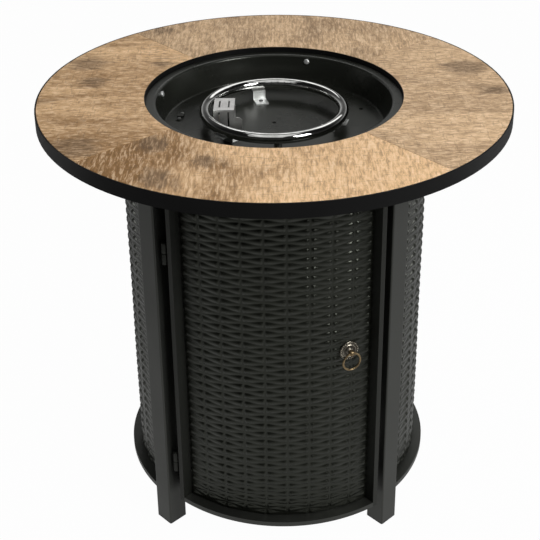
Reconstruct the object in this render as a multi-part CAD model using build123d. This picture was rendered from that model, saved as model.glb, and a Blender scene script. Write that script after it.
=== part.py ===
from build123d import *
from build123d.topology import SkipClean
import math
import os

# A round gas fire table. A wood-look top in four mitred boards surrounds a drop-in steel fire bowl with
# a ring burner. Four square legs, three woven-look panels and a curved door make the cabinet that hides
# the gas bottle.
# Millimetres, +Z up, the floor at z = 0, the table's axis on the Z axis and the door towards -Y.

# Table top
table_diameter = 711.2
table_height = 670.0
rim_depth = 22.0
rim_wall = 2.0
rim_edge_round = 0.6
rim_lip_width = 8.0
rim_shelf_width = 16.0
board_thickness = 9.0
board_clearance = 0.4
board_edge_chamfer = 0.4
seam_width = 0.4
seam_turn = -3.0
top_plate_thickness = 2.0

# Fire bowl
bowl_sheet = 1.5
bowl_mouth_diameter = 356.0
bowl_taper = 10.0
bowl_depth = 42.0
bowl_flange_width = 14.0
bowl_flange_gap = 2.0
bowl_bend_radius = 2.5
bowl_clearance = 1.5
bowl_bolt_drop = 16.0
bowl_bolt_angles = (73.0, 169.0, 301.0)
bowl_clip_width = 16.0
bowl_clip_reach = 18.0
bowl_clip_drop = 20.0
bowl_clip_sheet = 1.5
drain_hole_diameter = 6.0
side_hole_diameter = 7.0
side_hole_offset = 39.0
side_hole_angle = 21.0

# Ring burner and what carries it
burner_wall_gap = 63.0
burner_tube_diameter = 16.0
burner_tube_wall = 1.2
burner_height = 22.0
port_diameter = 2.6
port_count = 60
port_tilt = 18.0
bracket_count = 3
bracket_angle = 105.0
bracket_width = 20.0
bracket_sheet = 1.5
bracket_foot = 24.0
bracket_shelf = 18.0
bracket_web_inset = 9.0
inlet_tube_diameter = 12.0
inlet_tube_wall = 1.5
inlet_tube_drop = 20.0
inlet_nut_across = 19.0
inlet_nut_height = 5.0

# Pilot group in the bowl
hood_inset = 30.0
hood_y = -2.5
hood_width = 31.0
hood_length = 46.0
hood_height = 32.0
hood_sheet = 1.2
hood_slot_width = 2.6
hood_slot_spacing = 14.0
hood_slot_length_share = 0.54
hood_foot = 12.0
hood_ear_height = 20.0
hood_ear_width = 12.0
hood_ear_chamfer = 4.0
electrode_diameter = 7.0
electrode_length = 28.0
electrode_below = 14.0
electrode_wire_diameter = 2.0
electrode_wire_rise = 9.0
pilot_spacing = 12.0
thermocouple_diameter = 5.0
thermocouple_length = 38.0
thermocouple_below = 16.0
lead_clip_offset = 41.0
lead_clip_angle = 171.0
lead_clip_length = 30.0
lead_clip_foot = 11.0
lead_clip_width = 9.0
lead_clip_rise = 4.0
lead_clip_sheet = 1.2

# Gas and spark controls behind the door
control_x = 38.0
control_spacing = 62.0
control_plate_width = 112.0
control_plate_drop = 100.0
control_plate_sheet = 1.5
control_plate_clearance = 4.0
control_flange = 14.0
control_axis_drop = 61.0
valve_width = 28.0
valve_depth = 26.0
valve_height = 30.0
valve_edge = 2.0
valve_bush_diameter = 14.0
valve_nut_across = 19.0
valve_nut_height = 4.0
stem_diameter = 6.0
stem_inside = 14.0
knob_diameter = 42.0
knob_depth = 16.0
knob_grip_width = 10.0
knob_grip_rise = 8.0
knob_skirt_depth = 9.0
knob_edge_round = 1.5
knob_gap = 4.5
knob_bore_depth = 12.0
jet_across = 10.0
jet_hex_length = 5.0
jet_nozzle_diameter = 7.0
jet_nozzle_length = 8.0
jet_bore_diameter = 1.2
gas_inlet_diameter = 15.8
gas_inlet_length = 16.0
gas_inlet_hex_across = 17.0
gas_inlet_hex_height = 6.0
gas_inlet_bore = 8.0
mixer_diameter = 14.0
mixer_wall = 1.4
mixer_gap = 3.5
mixer_socket_depth = 10.0
mixer_slot_length = 12.0
mixer_slot_width = 6.0
mixer_slot_inset = 14.0
elbow_diameter = 18.0
elbow_collar_diameter = 21.0
elbow_reach = 22.0
elbow_top_gap = 0.5
elbow_passage_diameter = 8.0
elbow_feed_diameter = 9.0
igniter_barrel_diameter = 22.0
igniter_bezel_diameter = 28.0
igniter_bezel_height = 3.0
igniter_length = 38.0
igniter_nut_across = 27.0
igniter_nut_height = 5.0
button_diameter = 16.0
button_rise = 8.0
button_inside = 14.0
button_travel = 5.0
button_edge_round = 1.2

# Legs and cabinet
leg_width = 33.0
leg_wall = 1.5
leg_corner_radius = 2.5
leg_bracket_margin = 9.5
foot_pad_height = 3.0
foot_plug_height = 18.0
leg_bracket_arm = 30.0
leg_bracket_drop = 38.0
leg_bracket_width = 28.0
leg_bracket_sheet = 3.0
leg_bracket_bolt_spacing = 16.0
leg_bracket_screw_share = 0.6
frame_inset = 9.0
frame_bar_depth = 25.0
frame_bar_height = 8.0
side_rail_height = 44.0
panel_inset = 17.0
panel_sheet = 1.5
base_plate_sheet = 1.5
base_plate_overlap = 4.0
base_plate_leg_clearance = 1.0
base_plate_door_clearance = 3.0
hose_notch_width = 50.0
hose_notch_behind = 25.0
tank_ring_diameter = 212.0
tank_ring_height = 22.0
tank_ring_sheet = 1.5

# Door, shown a little open
door_open_angle = 3.5
door_hinge_gap = 16.0
door_latch_gap = 4.0
door_stile_width = 8.0
door_bottom_height = 55.0
door_top_gap = 3.0
hinge_offset = 7.0
hinge_inset = 4.0
hinge_upper_drop = 143.0
hinge_lower_rise = 71.0
hinge_barrel_diameter = 10.0
hinge_knuckle_length = 18.0
hinge_knuckle_gap = 0.3
hinge_pin_diameter = 6.0
hinge_pin_reach = 14.0
hinge_leaf_sheet = 4.0
hinge_dome = 2.5
strike_length = 40.0
strike_sheet = 1.2
strike_inset = 1.0
catch_drop = 75.0
catch_depth = 15.0
catch_width = 13.0
catch_gap = 0.4
catch_tab_sheet = 2.5
catch_tab_length = 18.0

# Ring pull on the door
handle_angle = 28.5
handle_height = 356.0
rosette_diameter = 30.0
rosette_base = 1.6
rosette_bead_diameter = 2.4
rosette_dome_rise = 3.4
rosette_dome_diameter = 17.0
rosette_dome_share = 0.8
post_diameter = 5.0
eye_diameter = 9.6
eye_rise = 9.6
eye_hole_diameter = 5.2
ring_outer_diameter = 31.0
ring_wire_diameter = 3.6

# Fasteners and fits
screw_diameter = 4.0
screw_head_diameter = 9.0
screw_head_height = 3.0
screw_dome_share = 0.6
screw_tail = 3.0
floor_screw_diameter = 3.0
floor_screw_head_diameter = 6.0
floor_screw_head_height = 2.0
floor_nut_across = 5.5
floor_nut_height = 2.4
nut_across = 7.0
nut_height = 3.2
handle_nut_across = 8.0
handle_nut_height = 4.0
board_screw_count = 3
board_screw_bite = 6.0
board_screw_share = 0.256
hole_clearance = 0.25
thread_fit = 0.05
running_fit = 0.06
seat_gap = 0.2
head_lift = 0.1
overrun = 5.0

# Levels and radii that follow from the sizes above
quarter = 90.0
half_turn = 180.0
table_radius = table_diameter / 2
rim_bottom = table_height - rim_depth
plate_top = table_height - board_thickness
plate_bottom = plate_top - top_plate_thickness
flange_top = plate_top + bowl_sheet
bowl_floor_top = flange_top - bowl_depth
bowl_floor_bottom = bowl_floor_top - bowl_sheet
bowl_mouth_radius = bowl_mouth_diameter / 2
bowl_floor_radius = bowl_mouth_radius - bowl_taper
fire_opening_radius = bowl_mouth_radius + bowl_flange_width + bowl_flange_gap
bowl_flare = (bowl_mouth_radius - bowl_floor_radius) / bowl_depth
bowl_slant = math.sqrt(1 + bowl_flare ** 2)
plate_hole_radius = bowl_mouth_radius + bowl_sheet + bowl_bend_radius + bowl_clearance
burner_radius = bowl_floor_radius - burner_wall_gap
burner_tube_radius = burner_tube_diameter / 2
burner_level = bowl_floor_top + burner_height
side_hole_radius = burner_radius + side_hole_offset
lead_clip_radius = burner_radius + lead_clip_offset
hood_x = hood_inset - burner_radius
electrode_x = hood_x - pilot_spacing / 2
thermocouple_x = hood_x + pilot_spacing / 2
leg_outer_radius = plate_hole_radius + leg_bracket_margin + leg_bracket_arm + leg_width
leg_center_radius = leg_outer_radius - leg_width / 2
leg_angles = [quarter / 2 + quarter * i for i in range(4)]
door_left_leg_angle = leg_angles[2]
door_right_leg_angle = leg_angles[3]
frame_outer_radius = leg_outer_radius - frame_inset
frame_inner_radius = frame_outer_radius - frame_bar_depth
panel_outer_radius = frame_outer_radius - panel_inset
panel_inner_radius = panel_outer_radius - panel_sheet
side_rail_top = side_rail_height + frame_bar_height
top_rail_bottom = plate_bottom - frame_bar_height
door_top_height = rim_bottom - door_top_gap
hinge_radial = frame_outer_radius - hinge_inset
hinge_upper_height = door_top_height - hinge_upper_drop
hinge_lower_height = door_bottom_height + hinge_lower_rise
catch_height = door_top_height - catch_drop
control_face = bowl_mouth_radius + bowl_sheet * bowl_slant + control_plate_clearance
control_front = -(control_face + control_plate_sheet)
control_level = plate_bottom - control_axis_drop
valve_x = control_x - control_spacing / 2
igniter_x = control_x + control_spacing / 2
inlet_y = -math.sqrt(burner_radius ** 2 - valve_x ** 2)
valve_rear = -control_face + valve_depth
knob_back = control_front - valve_nut_height - knob_gap
gas_inlet_y = (valve_rear - control_face) / 2
reach = table_diameter + table_height


def block(x0, x1, y0, y1, z0, z1):
    """A box between two corners."""
    middle = Pos((x0 + x1) / 2, (y0 + y1) / 2, (z0 + z1) / 2)
    return middle * Box(x1 - x0, y1 - y0, z1 - z0)


def disc(radius, z0, z1, x=0, y=0):
    """An upright round bar between two levels."""
    return Pos(x, y, (z0 + z1) / 2) * Cylinder(radius, z1 - z0)


def tube(outer, inner, z0, z1, x=0, y=0):
    """An upright round tube between two levels."""
    return disc(outer, z0, z1, x, y) - disc(inner, z0 - overrun, z1 + overrun, x, y)


def turned(points):
    """A solid of revolution about Z from an outline of radius and height pairs."""
    outline = make_face(Polyline(*points, close=True))
    return revolve(Plane.XZ * outline, axis=Axis.Z)


def side_profile(points, width):
    """A bent strip: an outline in radius and height, as wide as given across the radius."""
    outline = make_face(Polyline(*points, close=True))
    return extrude(Plane.XZ * outline, amount=width / 2, both=True)


def along_y(shape, x, y, z):
    """Lay a shape that stands on Z so that its top points to the front."""
    return Pos(x, y, z) * Rot(quarter, 0, 0) * shape


def round_bar(radius, length):
    """A bar that stands on the origin."""
    return Cylinder(radius, length, align=(Align.CENTER, Align.CENTER, Align.MIN))


def turn(angle, shape):
    """Turn a shape about the table's axis."""
    return Rot(0, 0, angle) * shape


def beyond(angle, offset):
    """The space past a leg's side, anticlockwise of the leg at this angle."""
    return turn(angle, block(0, reach, offset, reach, -reach, reach))


def before(angle, offset):
    """The space short of a leg's side, clockwise of the leg at this angle."""
    return turn(angle, block(0, reach, -reach, -offset, -reach, reach))


def between_legs(ring, leg_angle, first_offset, second_offset):
    """The part of a ring between one leg and the next, each with its own offset."""
    return ring & beyond(leg_angle, first_offset) & before(leg_angle + quarter, second_offset)


def dome_screw(diameter, head_diameter, head_height, length):
    """A dome-headed screw: the head stands on the origin and the shank goes down."""
    head = round_bar(head_diameter / 2, head_height)
    head = fillet(head.edges().sort_by(Axis.Z)[-1], head_height * screw_dome_share)
    return head + disc(diameter / 2, -length, 0)


def pan_screw(length):
    return dome_screw(screw_diameter, screw_head_diameter, screw_head_height, length)


def floor_screw(length):
    """The smaller screw of the bowl's floor."""
    return dome_screw(floor_screw_diameter, floor_screw_head_diameter, floor_screw_head_height, length)


def hex_bar(across, height):
    """A hexagonal bar that stands on the origin."""
    return extrude(RegularPolygon(across / 2, 6, major_radius=False), amount=height)


def hex_nut(across, height, bore_diameter):
    """A nut that stands on the origin."""
    return hex_bar(across, height) - disc(bore_diameter / 2, -overrun, height + overrun)


def nut_for_screw():
    return hex_nut(nut_across, nut_height, screw_diameter + 2 * thread_fit)


screw_hole_radius = screw_diameter / 2 + hole_clearance
thread_hole_radius = screw_diameter / 2 + thread_fit
floor_hole_radius = floor_screw_diameter / 2 + hole_clearance


# The table top
def board_screw_places():
    """Angle and radius of the screws that hold the boards, three to a board."""
    radius = frame_outer_radius + (table_radius - frame_outer_radius) * board_screw_share
    step = quarter / board_screw_count
    for corner in leg_angles:
        for index in range(board_screw_count):
            yield corner + seam_turn + step * (index + 0.5), radius


def board(corner_angle):
    outer = table_radius - rim_wall - board_clearance
    ring = tube(outer, fire_opening_radius, plate_top, table_height)
    solid = between_legs(ring, corner_angle + seam_turn, seam_width / 2, seam_width / 2)
    solid = chamfer(solid.faces().sort_by(Axis.Z)[-1].edges(), board_edge_chamfer)
    for angle, radius in board_screw_places():
        hole = disc(thread_hole_radius, plate_top - overrun, plate_top + board_screw_bite, radius)
        solid -= turn(angle, hole)
    return solid


def board_screws():
    length = top_plate_thickness + board_screw_bite
    screw = Pos(0, 0, plate_bottom) * Rot(half_turn, 0, 0) * pan_screw(length)
    return [turn(angle, Pos(radius, 0, 0) * screw) for angle, radius in board_screw_places()]


def rim_band():
    wall_inside = table_radius - rim_wall
    shelf_inside = table_radius - rim_shelf_width
    lip_inside = table_radius - rim_lip_width
    band = turned([
        (table_radius, rim_bottom), (table_radius, table_height), (wall_inside, table_height),
        (wall_inside, plate_bottom), (shelf_inside, plate_bottom), (shelf_inside, plate_bottom - rim_wall),
        (wall_inside, plate_bottom - rim_wall), (wall_inside, rim_bottom + rim_wall),
        (lip_inside, rim_bottom + rim_wall), (lip_inside, rim_bottom)])
    top_edges = band.edges().group_by(Axis.Z)[-1]
    return fillet(top_edges, rim_edge_round)


def bracket_screw_places():
    """Angle, radius and sideways place of the screws that hold the legs to the top plate."""
    radius = leg_center_radius - leg_width / 2 - leg_bracket_arm * leg_bracket_screw_share
    for angle in leg_angles:
        for side in (-1, 1):
            yield angle, radius, side * leg_bracket_bolt_spacing / 2


def control_screw_places():
    y = control_front - control_flange / 2
    for side in (-1, 1):
        yield control_x + side * control_plate_width / 3, y


def top_plate():
    plate = tube(table_radius - rim_wall - seat_gap, plate_hole_radius, plate_bottom, plate_top)
    for angle, radius in board_screw_places():
        plate -= turn(angle, disc(screw_hole_radius, plate_bottom - overrun, plate_top + overrun, radius))
    for angle, radius, side in bracket_screw_places():
        hole = disc(thread_hole_radius, plate_bottom - overrun, plate_top + overrun, radius, side)
        plate -= turn(angle, hole)
    for x, y in control_screw_places():
        plate -= disc(thread_hole_radius, plate_bottom - overrun, plate_top + overrun, x, y)
    return plate


# The fire bowl
def bowl_inside_radius(z):
    return bowl_floor_radius + (z - bowl_floor_top) * bowl_flare


def bowl_outside_radius(z):
    return bowl_inside_radius(z) + bowl_sheet * bowl_slant


def on_bowl_wall(depth):
    """A place on the wall at the bolts' level, this far outside its inner face, with Z pointing inwards."""
    z = table_height - bowl_bolt_drop
    r = bowl_inside_radius(z)
    inwards = Vector(-1, 0, bowl_flare).normalized()
    return Plane(Vector(r, 0, z) - inwards * depth, x_dir=(0, 1, 0), z_dir=inwards).location


def bracket_angles():
    return [bracket_angle + 360 / bracket_count * i for i in range(bracket_count)]


bracket_web_radius = burner_radius - bracket_web_inset
bracket_screw_radius = bracket_web_radius - bracket_foot / 2
hood_foot_x = hood_x + hood_width / 2 - hood_foot / 2
hood_foot_y = hood_y + hood_length / 4


def lead_clip_screw_places():
    for side in (-1, 1):
        yield lead_clip_radius, side * (lead_clip_length / 2 - lead_clip_foot / 2 + lead_clip_sheet / 2)


def floor_screw_places():
    """Places of the screws through the bowl's floor, with the sheet that each one holds down."""
    for angle in bracket_angles():
        yield turn(angle, Pos(bracket_screw_radius, 0, 0)), bracket_sheet
    for radius, side in lead_clip_screw_places():
        yield turn(lead_clip_angle, Pos(radius, side, 0)), lead_clip_sheet
    yield Pos(hood_foot_x, hood_foot_y, 0), hood_sheet


def floor_hole(radius, x, y):
    return disc(radius, bowl_floor_bottom - overrun, bowl_floor_top + overrun, x, y)


def fire_bowl():
    rim = bowl_mouth_radius + bowl_flange_width
    low = bowl_outside_radius(bowl_floor_bottom)
    high = bowl_outside_radius(flange_top - bowl_sheet)
    shell = turned([
        (0, bowl_floor_bottom), (low, bowl_floor_bottom), (high, flange_top - bowl_sheet),
        (rim, flange_top - bowl_sheet), (rim, flange_top), (bowl_mouth_radius, flange_top),
        (bowl_floor_radius, bowl_floor_top), (0, bowl_floor_top)])
    circles = shell.edges().filter_by(GeomType.CIRCLE)
    for radius, level, bend in (
            (bowl_mouth_radius, flange_top, bowl_bend_radius + bowl_sheet),
            (high, flange_top - bowl_sheet, bowl_bend_radius),
            (bowl_floor_radius, bowl_floor_top, bowl_bend_radius),
            (low, bowl_floor_bottom, bowl_bend_radius + bowl_sheet)):
        corner = sorted(circles, key=lambda e: abs(e.radius - radius) + abs(e.arc_center.Z - level))[0]
        shell = fillet(corner, bend)
        circles = shell.edges().filter_by(GeomType.CIRCLE)
    wall_hole = on_bowl_wall(0) * disc(screw_hole_radius, -overrun, overrun)
    for angle in bowl_bolt_angles:
        shell -= turn(angle, wall_hole)
    for place, _ in floor_screw_places():
        shell -= place * floor_hole(floor_hole_radius, 0, 0)
    shell -= floor_hole(drain_hole_diameter / 2, 0, 0)
    shell -= turn(side_hole_angle, floor_hole(side_hole_diameter / 2, side_hole_radius, 0))
    shell -= floor_hole(inlet_tube_diameter / 2 + hole_clearance, valve_x, inlet_y)
    shell -= floor_hole(electrode_diameter / 2 + hole_clearance, electrode_x, hood_y)
    shell -= floor_hole(thermocouple_diameter / 2 + hole_clearance, thermocouple_x, hood_y)
    return shell


def bowl_bolts():
    length = bowl_sheet + bowl_clip_sheet + nut_height + screw_tail
    bolt = on_bowl_wall(-head_lift) * pan_screw(length)
    return [turn(angle, bolt) for angle in bowl_bolt_angles]


def bowl_clips():
    """Hooks outside the bowl that catch under the top plate and hold the bowl down."""
    low = plate_bottom - bowl_clip_drop
    step = bowl_clip_sheet * bowl_slant
    wall_low = bowl_outside_radius(low) + seat_gap
    wall_high = bowl_outside_radius(plate_bottom) + seat_gap
    wall_bend = bowl_outside_radius(plate_bottom - bowl_clip_sheet) + seat_gap
    clip = side_profile([
        (wall_low, low), (wall_high, plate_bottom), (wall_high + bowl_clip_reach, plate_bottom),
        (wall_high + bowl_clip_reach, plate_bottom - bowl_clip_sheet),
        (wall_bend + step, plate_bottom - bowl_clip_sheet), (wall_low + step, low)], bowl_clip_width)
    clip -= on_bowl_wall(0) * disc(screw_hole_radius, -2 * overrun, overrun)
    return [turn(angle, clip) for angle in bowl_bolt_angles]


def bowl_nuts():
    """Nuts behind the clips and under the bowl's floor."""
    clip_back = bowl_sheet + bowl_clip_sheet + 2 * seat_gap
    wall_nut = on_bowl_wall(clip_back) * Rot(half_turn, 0, 0) * nut_for_screw()
    floor_nut = hex_nut(floor_nut_across, floor_nut_height, floor_screw_diameter + 2 * thread_fit)
    floor_nut = Pos(0, 0, bowl_floor_bottom - floor_nut_height) * floor_nut
    nuts = [turn(angle, wall_nut) for angle in bowl_bolt_angles]
    return nuts + [place * floor_nut for place, _ in floor_screw_places()]


def bowl_floor_screws():
    screws = []
    for place, sheet in floor_screw_places():
        length = sheet + bowl_sheet + floor_nut_height + screw_tail
        screws.append(place * Pos(0, 0, bowl_floor_top + sheet) * floor_screw(length))
    return screws


# The burner
def burner_ring():
    """Steel tube ring with gas ports round its inner side and one inlet tube down through the bowl's floor.

    It is bent in two halves that are welded together, and each half is drilled first.
    """
    inlet_bottom = bowl_floor_bottom - inlet_tube_drop
    bore_radius = burner_tube_radius - burner_tube_wall
    section = Circle(burner_tube_radius) - Circle(bore_radius)
    section = Plane.XZ * Pos(burner_radius, burner_level) * section
    half = revolve(section, axis=Axis.Z, revolution_arc=half_turn)
    port = Rot(0, port_tilt - quarter, 0) * round_bar(port_diameter / 2, burner_tube_diameter)
    port = Pos(burner_radius, 0, burner_level) * port
    step = 2 * half_turn / port_count
    ports = [turn(step * (i + 0.5), port) for i in range(port_count // 2)]
    inlet = disc(inlet_tube_diameter / 2, inlet_bottom, burner_level - burner_tube_wall, valve_x, inlet_y)
    inlet -= Pos(0, 0, burner_level) * Torus(burner_radius, bore_radius)
    bore = inlet_tube_diameter / 2 - inlet_tube_wall
    far_half = half - ports
    near_half = turn(half_turn, half) + inlet
    near_half -= disc(bore, inlet_bottom - overrun, burner_level, valve_x, inlet_y)
    near_half -= [turn(half_turn, port) for port in ports]
    with SkipClean():
        return far_half + near_half


def burner_brackets():
    top = burner_level - burner_tube_radius - seat_gap
    web = bracket_web_radius
    strip = side_profile([
        (web - bracket_foot, bowl_floor_top), (web - bracket_foot, bowl_floor_top + bracket_sheet),
        (web - bracket_sheet, bowl_floor_top + bracket_sheet), (web - bracket_sheet, top),
        (web + bracket_shelf, top), (web + bracket_shelf, top - bracket_sheet),
        (web, top - bracket_sheet), (web, bowl_floor_top)], bracket_width)
    strip -= floor_hole(floor_hole_radius, bracket_screw_radius, 0)
    return [turn(angle, strip) for angle in bracket_angles()]


def inlet_locknut():
    nut = hex_nut(inlet_nut_across, inlet_nut_height, inlet_tube_diameter + 2 * thread_fit)
    return Pos(valve_x, inlet_y, bowl_floor_bottom - inlet_nut_height) * nut


def inlet_elbow():
    """Turns the gas from the level mixer tube up into the burner's inlet tube."""
    top = bowl_floor_bottom - inlet_nut_height - elbow_top_gap
    radius = elbow_collar_diameter / 2
    inlet_bottom = bowl_floor_bottom - inlet_tube_drop
    body = disc(radius, control_level - radius, top, valve_x, inlet_y)
    body += along_y(round_bar(elbow_diameter / 2, elbow_reach), valve_x, inlet_y, control_level)
    body -= disc(inlet_tube_diameter / 2 + thread_fit, inlet_bottom, top + overrun, valve_x, inlet_y)
    body -= disc(elbow_feed_diameter / 2, control_level, inlet_bottom + overrun, valve_x, inlet_y)
    body -= along_y(round_bar(elbow_passage_diameter / 2, elbow_reach), valve_x, inlet_y, control_level)
    socket = round_bar(mixer_diameter / 2 + thread_fit, mixer_socket_depth + overrun)
    return body - along_y(socket, valve_x, inlet_y - elbow_reach + mixer_socket_depth, control_level)


def air_mixer():
    """Tube that draws air in through two slots beside the gas jet."""
    start = inlet_y - elbow_reach + mixer_socket_depth
    end = valve_rear + jet_hex_length + mixer_gap
    length = start - end
    pipe = round_bar(mixer_diameter / 2, length)
    pipe -= disc(mixer_diameter / 2 - mixer_wall, -overrun, length + overrun)
    slot_middle = length - mixer_slot_inset
    pipe -= Pos(0, 0, slot_middle) * Box(2 * mixer_diameter, mixer_slot_width, mixer_slot_length)
    return along_y(pipe, valve_x, start, control_level)


# The pilot group
def pilot_hood():
    """Bent sheet cover over the spark electrode and the flame sensor, slotted to let the flame across."""
    left = hood_x - hood_width / 2
    right = hood_x + hood_width / 2
    front = hood_y - hood_length / 2
    back = hood_y + hood_length / 2
    bottom = bowl_floor_top
    top = bowl_floor_top + hood_height
    cover = block(left, right, front, back, top - hood_sheet, top)
    cover += block(left, right, front, front + hood_sheet, bottom, top)
    cover += block(right - hood_sheet, right, front, back, bottom, top)
    cover += block(right - hood_foot, right, hood_foot_y - hood_foot / 2, back, bottom, bottom + hood_sheet)
    ear_end = right + hood_ear_width
    ear_top = bottom + hood_ear_height
    ear = block(right - hood_sheet, ear_end, front, front + hood_sheet, bottom, ear_top)
    cover += chamfer(ear.edges().filter_by(Axis.Y).group_by(Axis.Z)[-1], hood_ear_chamfer)
    slot = hood_length * hood_slot_length_share
    for side in (-1, 1):
        x = hood_x + side * hood_slot_spacing / 2
        cover -= Pos(x, hood_y, top) * Box(hood_slot_width, slot, 2 * overrun)
        cover -= Pos(x, front, bottom + hood_height / 2) * Box(hood_slot_width, 2 * overrun, slot)
    side_window = Box(2 * overrun, hood_length / 3, hood_height / 2)
    cover -= Pos(right, hood_y + hood_length / 6, bottom + hood_height / 2 + hood_sheet) * side_window
    return cover - floor_hole(floor_hole_radius, hood_foot_x, hood_foot_y)


def electrode_insulator():
    bottom = bowl_floor_top - electrode_below
    body = disc(electrode_diameter / 2, bottom, bottom + electrode_length, electrode_x, hood_y)
    body = fillet(body.edges().group_by(Axis.Z)[-1], electrode_wire_diameter / 2)
    top = bottom + electrode_length
    wire_hole = electrode_wire_diameter / 2 + thread_fit
    return body - disc(wire_hole, bottom - overrun, top + overrun, electrode_x, hood_y)


def electrode_wire():
    bottom = bowl_floor_top - electrode_below
    top = bottom + electrode_length + electrode_wire_rise
    return disc(electrode_wire_diameter / 2, bottom, top, electrode_x, hood_y)


def thermocouple():
    bottom = bowl_floor_top - thermocouple_below
    rod = disc(thermocouple_diameter / 2, bottom, bottom + thermocouple_length, thermocouple_x, hood_y)
    return fillet(rod.edges().group_by(Axis.Z)[-1], thermocouple_diameter / 4)


def lead_clip():
    """Small strap on the bowl's floor that holds down the pilot leads."""
    length = lead_clip_length / 2
    inner = length - lead_clip_foot
    rise = lead_clip_rise
    sheet = lead_clip_sheet
    strap = make_face(Polyline(
        (-length, 0), (-length, sheet), (-inner - sheet, sheet), (-inner - sheet, rise),
        (inner + sheet, rise), (inner + sheet, sheet), (length, sheet), (length, 0),
        (inner, 0), (inner, rise - sheet), (-inner, rise - sheet), (-inner, 0), close=True))
    solid = extrude(Plane.YZ * strap, amount=lead_clip_width / 2, both=True)
    for _, side in lead_clip_screw_places():
        solid -= disc(floor_hole_radius, -overrun, overrun, 0, side)
    return turn(lead_clip_angle, Pos(lead_clip_radius, 0, bowl_floor_top) * solid)


# The controls
def control_plate():
    left = control_x - control_plate_width / 2
    right = control_x + control_plate_width / 2
    low = plate_bottom - control_plate_drop
    plate = block(left, right, control_front, -control_face, low, plate_bottom)
    plate += block(left, right, control_front - control_flange, control_front,
                   plate_bottom - control_plate_sheet, plate_bottom)
    for x, y in control_screw_places():
        plate -= disc(screw_hole_radius, plate_bottom - overrun, plate_bottom + overrun, x, y)
    for x, diameter in ((valve_x, valve_bush_diameter), (igniter_x, igniter_barrel_diameter)):
        hole = round_bar(diameter / 2 + hole_clearance, 2 * overrun)
        plate -= along_y(hole, x, -control_face + overrun, control_level)
    return plate


def gas_valve():
    """Brass valve body with a threaded bush through the control plate."""
    body = block(valve_x - valve_width / 2, valve_x + valve_width / 2, -control_face, valve_rear,
                 control_level - valve_height / 2, control_level + valve_height / 2)
    body = chamfer(body.edges().filter_by(Axis.Y), valve_edge)
    bush_length = control_plate_sheet + valve_nut_height + knob_gap / 4
    body += along_y(round_bar(valve_bush_diameter / 2, bush_length), valve_x, -control_face, control_level)
    stem_room = round_bar(stem_diameter / 2 + running_fit, reach)
    body -= along_y(stem_room, valve_x, stem_end() + knob_gap, control_level)
    jet_room = round_bar(jet_nozzle_diameter / 2, valve_depth / 4 + overrun)
    return body - along_y(jet_room, valve_x, valve_rear + overrun, control_level)


def stem_end():
    return -control_face + stem_inside


def valve_nut():
    nut = hex_nut(valve_nut_across, valve_nut_height, valve_bush_diameter + 2 * thread_fit)
    return along_y(nut, valve_x, control_front, control_level)


def valve_stem():
    length = stem_end() - (knob_back - knob_bore_depth)
    return along_y(round_bar(stem_diameter / 2, length), valve_x, stem_end(), control_level)


def control_knob():
    """Round knob with a raised grip bar across its front."""
    skirt = round_bar(knob_diameter / 2, knob_skirt_depth)
    skirt = fillet(skirt.edges().group_by(Axis.Z)[-1], knob_edge_round)
    grip = Pos(0, 0, knob_depth / 2) * Box(knob_grip_width, knob_diameter - knob_grip_rise, knob_depth)
    grip = fillet(grip.edges().filter_by(Axis.Z), knob_edge_round)
    knob = skirt + grip
    knob -= disc(stem_diameter / 2 + thread_fit, -overrun, knob_bore_depth)
    return along_y(knob, valve_x, knob_back, control_level)


def gas_jet():
    """Brass nozzle in the back of the valve that blows into the mixer tube."""
    jet = hex_bar(jet_across, jet_hex_length)
    jet += disc(jet_nozzle_diameter / 2, 0, jet_hex_length + jet_nozzle_length)
    jet += disc(jet_nozzle_diameter / 2 - thread_fit, -valve_depth / 4, 0)
    jet -= disc(jet_bore_diameter / 2, -valve_depth, valve_depth)
    return Pos(valve_x, valve_rear, control_level) * Rot(-quarter, 0, 0) * jet


def gas_inlet():
    """Flare fitting under the valve for the bottle's hose."""
    top = control_level - valve_height / 2
    hex_bottom = top - gas_inlet_hex_height
    low = hex_bottom - gas_inlet_length
    fitting = Pos(valve_x, gas_inlet_y, hex_bottom) * hex_bar(gas_inlet_hex_across, gas_inlet_hex_height)
    fitting += disc(gas_inlet_diameter / 2, low, hex_bottom, valve_x, gas_inlet_y)
    return fitting - disc(gas_inlet_bore / 2, low - overrun, top + overrun, valve_x, gas_inlet_y)


def igniter_body():
    """Spark module: a barrel through the plate with a bezel in front and room for the button."""
    depth = igniter_length
    body = round_bar(igniter_barrel_diameter / 2, depth)
    bezel = disc(igniter_bezel_diameter / 2, depth, depth + igniter_bezel_height)
    body += fillet(bezel.edges().group_by(Axis.Z)[-1], igniter_bezel_height / 3)
    room = button_inside + button_travel + 2 * seat_gap
    top = depth + igniter_bezel_height
    body -= disc(button_diameter / 2 + running_fit, top - room, top + overrun)
    return along_y(body, igniter_x, control_front + depth, control_level)


def igniter_nut():
    nut = hex_nut(igniter_nut_across, igniter_nut_height, igniter_barrel_diameter + 2 * thread_fit)
    return along_y(nut, igniter_x, -control_face + igniter_nut_height, control_level)


def igniter_button():
    button = disc(button_diameter / 2, -button_inside, button_rise)
    button = fillet(button.edges().group_by(Axis.Z)[-1], button_edge_round)
    return along_y(button, igniter_x, control_front - igniter_bezel_height, control_level)


# Legs and cabinet
def square_bar(width, corner, z0, z1):
    bar = extrude(RectangleRounded(width, width, corner), amount=z1 - z0)
    return Pos(leg_center_radius, 0, z0) * bar


def leg_bolt_levels():
    middle = plate_bottom - leg_bracket_drop * leg_bracket_screw_share
    return [(middle, side * leg_bracket_bolt_spacing / 2) for side in (-1, 1)]


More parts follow.
